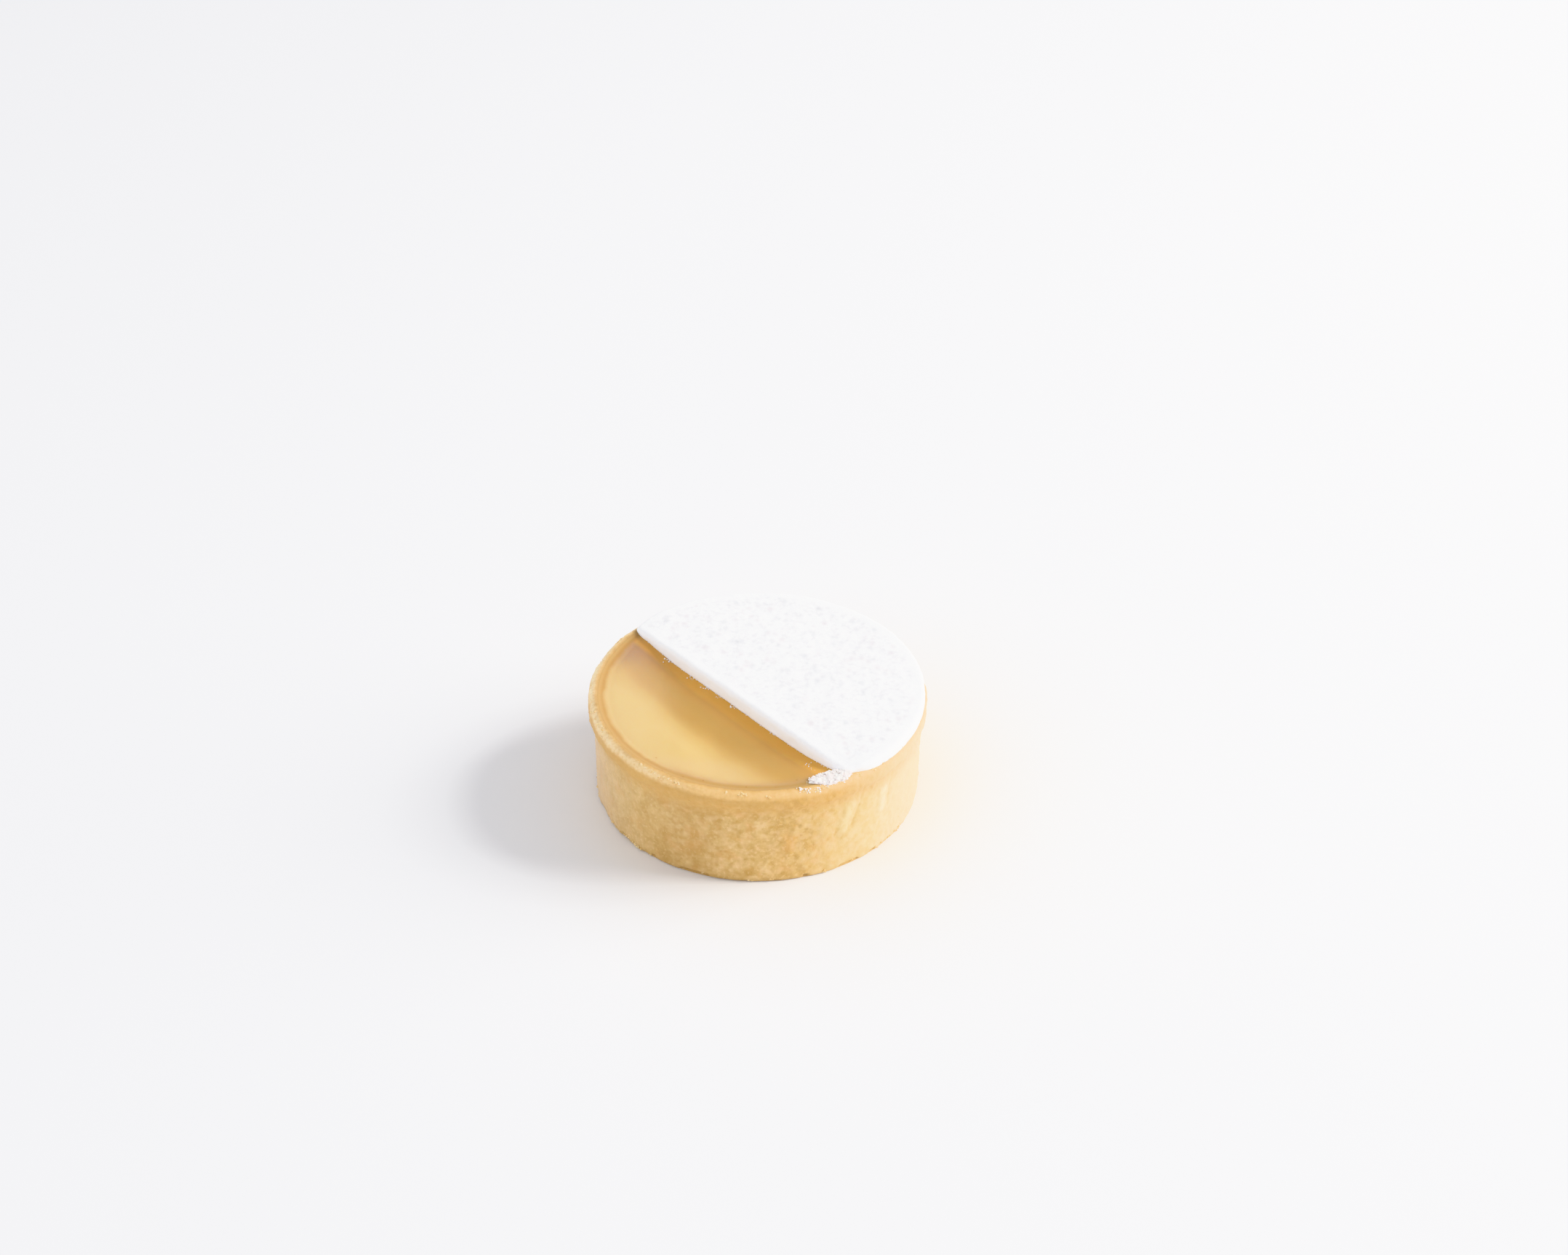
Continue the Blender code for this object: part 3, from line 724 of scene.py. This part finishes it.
def make_crust_crumbs():
    """Flakes of crust half sunk into the case: in clusters along the rim and by the foot, and
    singly on the wall."""
    draw = np.random.default_rng(45)
    rim_count, wall_count, foot_count = (count for count, _, _ in CRUST_CRUMBS)
    cluster = draw.integers(0, RIM_CRUMB_CLUSTERS, rim_count)
    middle = draw.normal(39.2, 0.16, RIM_CRUMB_CLUSTERS)[cluster]
    radius = np.clip(draw.normal(middle, 0.16), 38.4, 39.8) * MM
    angle = draw.normal(draw.uniform(0.0, 360.0, RIM_CRUMB_CLUSTERS)[cluster], 1.1)
    rim = polar(radius, np.radians(angle), rim_top(radius) - RIM_CRUMB_SINK)
    profile = case_profile()
    outside = profile[(profile[:, 0] > FOOT_RADIUS - 0.5 * MM) & (profile[:, 1] < LIP_TOP)]
    outside = outside[np.argsort(outside[:, 1])]
    height = np.concatenate([draw.uniform(1.5, 23.5, wall_count),
                             draw.uniform(0.3, 1.6, foot_count)]) * MM
    at = np.interp(height, outside[:, 1], outside[:, 0])
    by_foot = draw.uniform(0.0, 360.0, FOOT_CRUMB_CLUSTERS)[
        draw.integers(0, FOOT_CRUMB_CLUSTERS, foot_count)]
    around = np.concatenate([draw.uniform(0.0, 360.0, wall_count), draw.normal(by_foot, 1.3)])
    sizes = [draw.uniform(smallest, largest, count) for count, smallest, largest in CRUST_CRUMBS]
    sizes = np.concatenate(sizes) * MM
    places = np.concatenate([rim, case_surface(around, height, at)])
    places[:, 2] = np.maximum(places[:, 2], LUMP_REACH * sizes)
    return scattered("crust_crumbs", places, sizes, 46, 0.7, 8, 4, 0.16)


# -------- finishes

def linear(red, green, blue):
    """A display colour of 0 to 255 per channel as the linear colour that a shader takes."""
    shares = np.array([red, green, blue]) / 255.0
    low, high = shares / 12.92, ((shares + 0.055) / 1.055) ** 2.4
    return (*np.where(shares <= 0.04045, low, high).tolist(), 1.0)


class Finish:
    """One material and its nodes. Patterns are read on the piece's own coordinates, and
    lengths are given in mm."""

    def __init__(self, name, roughness, specular):
        self.material = bpy.data.materials.new(name)
        self.material.use_nodes = True
        self.tree = self.material.node_tree
        self.shader = self.tree.nodes["Principled BSDF"]
        self.feed(self.shader, {"Roughness": roughness, "Specular IOR Level": specular})
        self.place = self.node("TexCoord", {}).outputs["Object"]
        self.colour = None

    def feed(self, node, inputs):
        """Fills inputs of a node, each with a socket to join or a value."""
        for label, value in inputs.items():
            if isinstance(value, bpy.types.NodeSocket):
                self.tree.links.new(value, node.inputs[label])
            else:
                node.inputs[label].default_value = value

    def node(self, kind, inputs, **settings):
        """A new node with its inputs filled."""
        made = self.tree.nodes.new("ShaderNode" + kind)
        for label, value in settings.items():
            setattr(made, label, value)
        self.feed(made, inputs)
        return made

    def through(self, share, radius):
        """Light that goes into the food and comes out again, further for the warm colours."""
        self.feed(self.shader, {"Subsurface Weight": share, "Subsurface Radius": radius,
                                "Subsurface Scale": MM})

    def pattern(self, kind, size, stretch, **inputs):
        """A texture whose features are about so large, and smaller where stretched."""
        mapping = self.node("Mapping", {"Vector": self.place, "Scale": stretch})
        return self.node(kind, {"Vector": mapping.outputs["Vector"],
                                "Scale": 1.0 / (size * MM), **inputs})

    def noise(self, size, detail=3.0):
        """Smooth noise from 0 to 1."""
        return self.pattern("TexNoise", size, (1.0, 1.0, 1.0), Detail=detail).outputs["Fac"]

    def cells(self, size, stretch):
        """Distance to the nearest of many random places, in sizes."""
        return self.pattern("TexVoronoi", size, stretch).outputs["Distance"]

    def kept(self, label):
        """A value that the mesh keeps at each point."""
        return self.node("Attribute", {}, attribute_name=label).outputs["Fac"]

    def spread(self, value, start, end, low=0.0, high=1.0):
        """The value, from start to end, spread from low to high along an S-curve."""
        inputs = {"Value": value, "From Min": start, "From Max": end,
                  "To Min": low, "To Max": high}
        return self.node("MapRange", inputs, interpolation_type="SMOOTHSTEP").outputs["Result"]

    def within(self, length, start, end, low=0.0, high=1.0):
        """A length, from start to end in mm, spread from low to high."""
        return self.spread(length, start * MM, end * MM, low, high)

    def by(self, axis, start, end, low=0.0, high=1.0):
        """The place along an axis, from start to end in mm, spread from low to high."""
        return self.within(self.along_axis(axis), start, end, low, high)

    def maths(self, operation, first, second):
        """One sum of two values, each a number or a socket."""
        return self.node("Math", {0: first, 1: second}, operation=operation).outputs["Value"]

    def plus(self, first, second):
        return self.maths("ADD", first, second)

    def times(self, first, second):
        return self.maths("MULTIPLY", first, second)

    def sway(self, size, detail, width):
        """A length that noise moves to and fro by half the width, in mm."""
        moved = self.times(self.noise(size, detail), width * MM)
        return self.maths("SUBTRACT", moved, 0.5 * width * MM)

    def along_axis(self, axis):
        """The place along one of the tart's axes."""
        return self.node("SeparateXYZ", {"Vector": self.place}).outputs[axis]

    def from_axis(self):
        """Distance from the tart's axis."""
        flat = self.node("VectorMath", {0: self.place, 1: (1.0, 1.0, 0.0)}, operation="MULTIPLY")
        length = self.node("VectorMath", {0: flat.outputs["Vector"]}, operation="LENGTH")
        return length.outputs["Value"]

    def from_cut(self):
        """Distance out from the foot of the sugar's cut."""
        facing = (math.cos(CUT_FACES), math.sin(CUT_FACES), 0.0)
        out = self.node("VectorMath", {0: self.place, 1: facing}, operation="DOT_PRODUCT")
        return self.maths("SUBTRACT", out.outputs["Value"], CUT_OFFSET)

    def blend(self, share, under, over):
        """under where the share is 0, over where it is 1: each a socket or a display colour."""
        ends = [linear(*end) if isinstance(end, tuple) else end for end in (under, over)]
        inputs = {"Factor": share, 6: ends[0], 7: ends[1]}
        return self.node("Mix", inputs, data_type="RGBA").outputs[2]

    def tint(self, share, over):
        """Turns the finish's colour to another one where the share is 1."""
        self.colour = self.blend(share, self.colour, over)

    def coloured(self):
        self.feed(self.shader, {"Base Color": self.colour})

    def rough(self, value):
        self.feed(self.shader, {"Roughness": value})

    def grained(self, height, depth, strength):
        """A fine relief of the given depth, as light sees it."""
        bump = self.node("Bump", {"Strength": strength, "Distance": depth * MM, "Height": height})
        self.feed(self.shader, {"Normal": bump.outputs["Normal"]})


def baked_crust():
    """Short crust: pale gold with fine specks and soft blotches. It is browner in the pits and
    the foot's notches and paler on what stands out, as painted shade and painted light; browner
    left of the front, as painted shade where the wall turns away from the key light; paler along
    the pleats, as painted highlight; paler on the left, towards the back and on the sides, as
    painted sheen; paler on the right, as painted light; and a little darker at the foot, partly
    browner baking and partly painted contact shade. The rim goes from orange on its inner side,
    which the curd has stained, over a pale crumbly line along its top, whose bumps and left part
    are brightened as painted highlight, to orange again on the lip, paler on the right as painted
    light."""
    look = Finish("baked_crust", 0.66, 0.3)
    look.through(0.15, (0.9, 0.6, 0.3))
    out = look.kept("stands_out")
    height = look.along_axis("Z")
    look.colour = look.blend(look.spread(look.noise(3.4, 2.0), 0.30, 0.70),
                             (190, 154, 94), (206, 173, 117))
    calm = look.by("X", -10.0, -28.0, 1.0, 0.35)
    fine = look.noise(0.75, 2.0)
    look.tint(look.spread(fine, 0.52, 0.72, 0.0, 0.35), (232, 202, 156))
    look.tint(look.spread(fine, 0.46, 0.28, 0.0, 0.35), (178, 140, 80))
    blotches = look.spread(look.noise(2.2, 1.0), 0.40, 0.80, 0.0, 0.5)
    look.tint(look.times(blotches, calm), (230, 198, 152))
    blotches = look.spread(look.noise(1.6, 1.0), 0.52, 0.22, 0.0, 0.45)
    look.tint(look.times(blotches, calm), (180, 143, 80))
    look.tint(look.spread(look.noise(4.8, 2.0), 0.50, 0.70, 0.0, 0.3), (212, 160, 100))
    # Browner left of the front: painted shade where the wall turns away from the key light.
    turned = look.times(look.by("X", -3.0, -14.0, 0.0, 0.35), look.by("X", -28.0, -19.0))
    look.tint(turned, (173, 139, 92))
    # Paler on the left and towards the back and the sides: painted sheen.
    look.tint(look.by("X", -20.0, -29.0, 0.0, 0.25), (200, 174, 132))
    look.tint(look.by("Y", -30.0, -2.0, 0.0, 0.6), (223, 199, 173))
    # Paler on the right, on the wall towards the key lamp: painted light.
    painted_light_colour = look.blend(look.spread(look.noise(1.9), 0.36, 0.64), (214, 187, 132), (238, 216, 166))
    painted_light_colour = look.blend(look.by("X", 24.0, 36.0, 0.0, 0.75), painted_light_colour, (236, 217, 180))
    right = look.by("X", 8.0, 32.0, 0.0, 0.85)
    look.tint(look.times(right, look.within(height, 22.5, 15.5)), painted_light_colour)
    # Paler where the relief stands out: painted light; browner where it sinks into pits and the
    # foot's notches: painted shade.
    look.tint(look.times(look.spread(out, 0.04, 0.34, 0.0, 0.4), calm), (232, 206, 160))
    look.tint(look.times(look.spread(out, -0.10, -0.40, 0.0, 0.45), calm), (172, 132, 76))
    # Paler along the pleats: painted highlight.
    painted_fold_highlight = look.times(look.spread(look.kept("pleat"), 0.06, 0.28, 0.0, 0.6),
                        look.spread(look.noise(1.6, 2.0), 0.36, 0.58, 0.4, 1.0))
    look.tint(painted_fold_highlight, look.blend(look.by("X", 24.0, 30.0), (250, 228, 174), (255, 240, 202)))
    dashes = look.spread(look.cells(1.7, (0.7, 0.7, 2.0)), 0.10, 0.05, 0.0, 0.4)
    look.tint(look.times(dashes, look.within(height, 23.5, 22.0)), (160, 120, 66))
    # Orange on the lip, browned in baking; paler towards the right, as painted light.
    lip = look.blend(look.by("X", 16.0, 38.0), (199, 157, 94), (210, 192, 158))
    look.tint(look.within(height, 17.5, 23.5, 0.0, 0.7), lip)
    radius = look.plus(look.from_axis(), look.sway(1.3, 1.0, 0.7))
    stained = look.times(look.within(radius, 38.9, 37.6), look.within(height, 24.0, 25.2))
    look.tint(stained, look.blend(look.by("X", -8.0, -22.0), (174, 139, 90), (176, 142, 94)))
    # The pale crumbly line on the rim's top: pale crumbs, brightened on its bumps and on the left
    # as painted highlight.
    line = look.times(look.within(radius, 38.1, 39.3), look.within(height, 24.5, 26.1))
    line = look.times(line, look.spread(out, -0.12, 0.14, 0.7, 1.0))
    line = look.times(line, look.spread(look.noise(0.8, 1.0), 0.34, 0.60, 0.65, 1.0))
    look.tint(line, look.blend(look.by("X", -8.0, -34.0), (249, 208, 145), (255, 232, 188)))
    # Darker at the foot: partly browner baking, partly painted contact shade.
    look.tint(look.within(height, 1.8, 0.2, 0.0, 0.35), (176, 146, 98))
    look.coloured()
    look.grained(look.plus(look.noise(0.45, 4.0), look.noise(1.3, 2.0)), 0.08, 0.8)
    look.rough(look.spread(look.noise(1.9), 0.3, 0.7, 0.56, 0.76))
    return look.material


def satin_curd():
    """Lemon curd: an even yellow with slow patches, paler to the left as painted reflection,
    darker in a broad soft band along the cut, amber beside the cut and orange at its foot, all
    painted shadow of the sugar layer, darker in the back corner by the cut as painted shade,
    orange towards the case, where it is thinner and baked drier, and a few brown flecks near the
    rim."""
    look = Finish("lemon_curd", 0.42, 0.5)
    look.through(0.35, (2.0, 1.0, 0.4))
    slow = look.noise(11.0, 2.0)
    look.colour = look.blend(look.spread(slow, 0.35, 0.65), (201, 171, 109), (209, 179, 116))
    # Paler to the left: painted reflection of the pale surround.
    look.tint(look.by("X", -12.0, -32.0, 0.0, 0.8), (200, 174, 124))
    look.tint(look.by("Y", -22.0, -29.0, 0.0, 0.35), (207, 177, 133))
    # Darker in a broad soft band along the cut: painted shadow of the sugar layer.
    out = look.plus(look.from_cut(), look.sway(14.0, 1.0, 4.0))
    out = look.plus(out, look.by("X", -16.0, -30.0, 0.0, 1.6 * MM))
    left = look.by("X", -14.0, -30.0)
    look.tint(look.within(out, 19.2, 10.3), look.blend(left, (177, 139, 76), (178, 144, 98)))
    # Amber beside the cut: painted shadow of the sugar layer.
    near = look.plus(look.from_cut(), look.by("X", -12.0, -26.0, 0.0, 0.8 * MM))
    look.tint(look.within(near, 8.0, 3.6), look.blend(left, (190, 144, 77), (188, 144, 88)))
    # Darker in the back corner by the cut: painted shade.
    look.tint(look.by("Y", 7.0, 18.0, 0.0, 0.5), (144, 114, 108))
    # Orange at the cut's foot, under the layer's own shadow: part of the same painted shadow.
    foot = look.blend(look.by("X", -14.0, -26.0), (222, 168, 82), (210, 157, 82))
    look.tint(look.within(near, 4.3, 2.3), foot)
    radius = look.plus(look.from_axis(), look.sway(6.0, 2.0, 1.6))
    fade = look.times(look.by("Y", -25.0, -33.0, 0.25, 0.9), look.within(radius, 32.5, 36.3))
    look.tint(fade, (173, 138, 96))
    at_left = look.by("X", -8.0, -26.0)
    edge = look.maths("SUBTRACT", radius, look.times(at_left, 0.3 * MM))
    look.tint(look.within(edge, 35.0, 36.5, 0.0, 0.9),
              look.blend(at_left, (166, 130, 69), (162, 124, 70)))
    look.tint(look.within(look.from_axis(), 36.6, 37.5, 0.0, 0.85),
              look.blend(at_left, (173, 137, 85), (174, 139, 88)))
    flecks = look.spread(look.cells(2.9, (1.0, 1.0, 0.3)), 0.12, 0.05, 0.0, 0.6)
    flecks = look.times(flecks, look.by("Y", -20.0, -28.0))
    look.tint(look.times(flecks, look.within(radius, 32.5, 34.5)), (150, 96, 46))
    look.coloured()
    look.grained(look.plus(look.noise(0.9), look.noise(3.0, 2.0)), 0.03, 0.5)
    look.rough(look.spread(slow, 0.3, 0.7, 0.40, 0.50))
    return look.material


def sifted_white(name, low, high):
    """Icing sugar: white between two tones, with soft greyer dots and a fine mottle over the
    layer's open middle as painted shade of its powdery relief, a cooler white on the cut as
    painted cool light on that face, and a fine powder grain."""
    look = Finish(name, 0.95, 0.2)
    look.through(0.5, (0.5, 0.5, 0.5))
    look.colour = look.blend(look.spread(look.noise(0.9), 0.36, 0.60), low, high)
    open_top = look.kept("open_top")
    # Greyer dots and mottle on the open top: painted shade of the powder's relief.
    dots = look.times(look.spread(look.cells(2.1, (1.0, 0.7, 0.2)), 0.66, 0.10),
                      look.spread(look.noise(2.7, 1.0), 0.34, 0.62))
    flush = look.spread(look.noise(6.5, 2.0), 0.45, 0.62)
    look.tint(look.times(dots, open_top), look.blend(flush, (204, 204, 206), (208, 204, 206)))
    mottle = look.spread(look.noise(1.2, 2.0), 0.50, 0.68, 0.0, 0.7)
    look.tint(look.times(mottle, open_top), (206, 205, 207))
    # A cooler white on the cut face: painted cool light.
    painted_cool_light_on_cut = look.times(look.kept("low_side"), look.within(look.from_cut(), -1.7, -0.9))
    look.tint(painted_cool_light_on_cut, (243, 246, 255))
    look.coloured()
    look.grained(look.plus(look.noise(0.35), look.noise(1.0, 2.0)), 0.08, 0.6)
    return look.material


def crumb_crust():
    """Crumbs of crust: each a little paler or browner, and all of them paler on the rim."""
    look = Finish("crust_crumb", 0.7, 0.3)
    look.through(0.25, (1.2, 0.7, 0.3))
    tone = look.spread(look.noise(2.2, 1.0), 0.38, 0.62)
    low = look.blend(tone, (212, 178, 124), (236, 208, 162))
    high = look.blend(tone, (234, 194, 136), (248, 216, 166))
    look.colour = look.blend(look.by("Z", 22.0, 25.0), low, high)
    look.coloured()
    look.grained(look.noise(0.3, 2.0), 0.05, 0.8)
    return look.material


def dressed(piece, material):
    """Gives a piece its finish and its place on the tart."""
    piece.data.materials.clear()
    piece.data.materials.append(material)
    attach(piece, "root")
    return piece


# -------- floor, light and camera

FLOOR_REACH = 1.6
FLOOR_COLOUR = (0.853, 0.850, 0.862, 1.0)
CAMERA_PLACE = Vector((6.06, -505.46, 401.9)) * MM
CAMERA_DOWN = math.radians(35.25)
CAMERA_ROLL = math.radians(0.54)
CAMERA_SENSOR = 36.0
# The photograph's focal length and width, in pixels
PHOTO_FOCAL = 3660.0
PHOTO_WIDTH = 2156.0
# Soft lights: (turn from +X, height) in degrees, distance, size, power, colour
KEY = (10.0, 24.0, 1.1, 0.9, 33.5, (1.0, 0.995, 0.97))
REFLECTOR = (212.0, 10.0, 1.2, 0.9, 6.1, (0.95, 0.98, 1.01))
SURROUND_STRENGTH = 0.755
SURROUND_COLOUR = (0.98, 0.988, 1.02)


def make_floor():
    """A plain pale floor under the tart."""
    mesh = bpy.data.meshes.new("floor")
    corners = ((-1, -1), (1, -1), (1, 1), (-1, 1))
    mesh.from_pydata([(x * FLOOR_REACH, y * FLOOR_REACH, 0.0) for x, y in corners], [],
                     [(0, 1, 2, 3)])
    look = Finish("pale_floor", 0.6, 0.2)
    look.feed(look.shader, {"Base Color": FLOOR_COLOUR})
    mesh.materials.append(look.material)
    in_scene("floor", mesh)


def make_lamp(name, lamp):
    """A round area light that faces the tart from its direction."""
    turn, height, distance, size, power, colour = lamp
    turn, height = math.radians(turn), math.radians(height)
    towards = Vector((math.cos(height) * math.cos(turn), math.cos(height) * math.sin(turn),
                      math.sin(height)))
    light = bpy.data.lights.new(name, "AREA")
    light.shape = "DISK"
    light.size = size
    light.energy = power
    light.color = colour
    placed = in_scene(name, light)
    placed.location = towards * distance
    placed.rotation_euler = towards.to_track_quat("Z", "Y").to_euler()


def make_light():
    """A large soft key light on the right, low and a little behind, a weak reflector on the
    left and a pale surround."""
    make_lamp("key", KEY)
    make_lamp("reflector", REFLECTOR)
    world = bpy.data.worlds.new("studio")
    world.use_nodes = True
    surround = world.node_tree.nodes["Background"]
    surround.inputs["Color"].default_value = (*SURROUND_COLOUR, 1.0)
    surround.inputs["Strength"].default_value = SURROUND_STRENGTH
    bpy.context.scene.world = world


def make_camera():
    """The photograph's view: a long lens from the front, looking down, and turned a little."""
    ahead = Vector((0.0, math.cos(CAMERA_DOWN), -math.sin(CAMERA_DOWN)))
    upright = Vector((0.0, math.sin(CAMERA_DOWN), math.cos(CAMERA_DOWN)))
    right = Vector((1.0, 0.0, 0.0))
    rolled_right = right * math.cos(CAMERA_ROLL) + upright * math.sin(CAMERA_ROLL)
    rolled_up = upright * math.cos(CAMERA_ROLL) - right * math.sin(CAMERA_ROLL)
    camera = bpy.data.cameras.new("camera")
    camera.sensor_width = CAMERA_SENSOR
    camera.lens = PHOTO_FOCAL / PHOTO_WIDTH * CAMERA_SENSOR
    camera.clip_start = 0.01
    camera.clip_end = 20.0
    view = in_scene("camera", camera)
    turned = Matrix((rolled_right, rolled_up, -ahead)).transposed().to_4x4()
    view.matrix_world = Matrix.Translation(CAMERA_PLACE) @ turned
    bpy.context.scene.camera = view


# -------- the tart

crust = baked_crust()
sugar = sifted_white("icing_sugar", (245, 244, 245), (254, 253, 253))
fallen = sifted_white("fallen_sugar", (244, 234, 232), (255, 250, 245))

case = dressed(make_case(), crust)
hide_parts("crust")
curd = dressed(make_curd(), satin_curd())
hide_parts("lemon_filling")
layer = dressed(make_sugar(), sugar)
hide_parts("icing_sugar")
heap = dressed(make_heap(), fallen)
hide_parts("icing_sugar")
dressed(make_spill(), fallen)
dressed(make_sugar_crumbs(), fallen)
dressed(make_crust_crumbs(), crumb_crust())

make_floor()
make_light()
make_camera()
bpy.context.scene.view_settings.view_transform = "Khronos PBR Neutral"
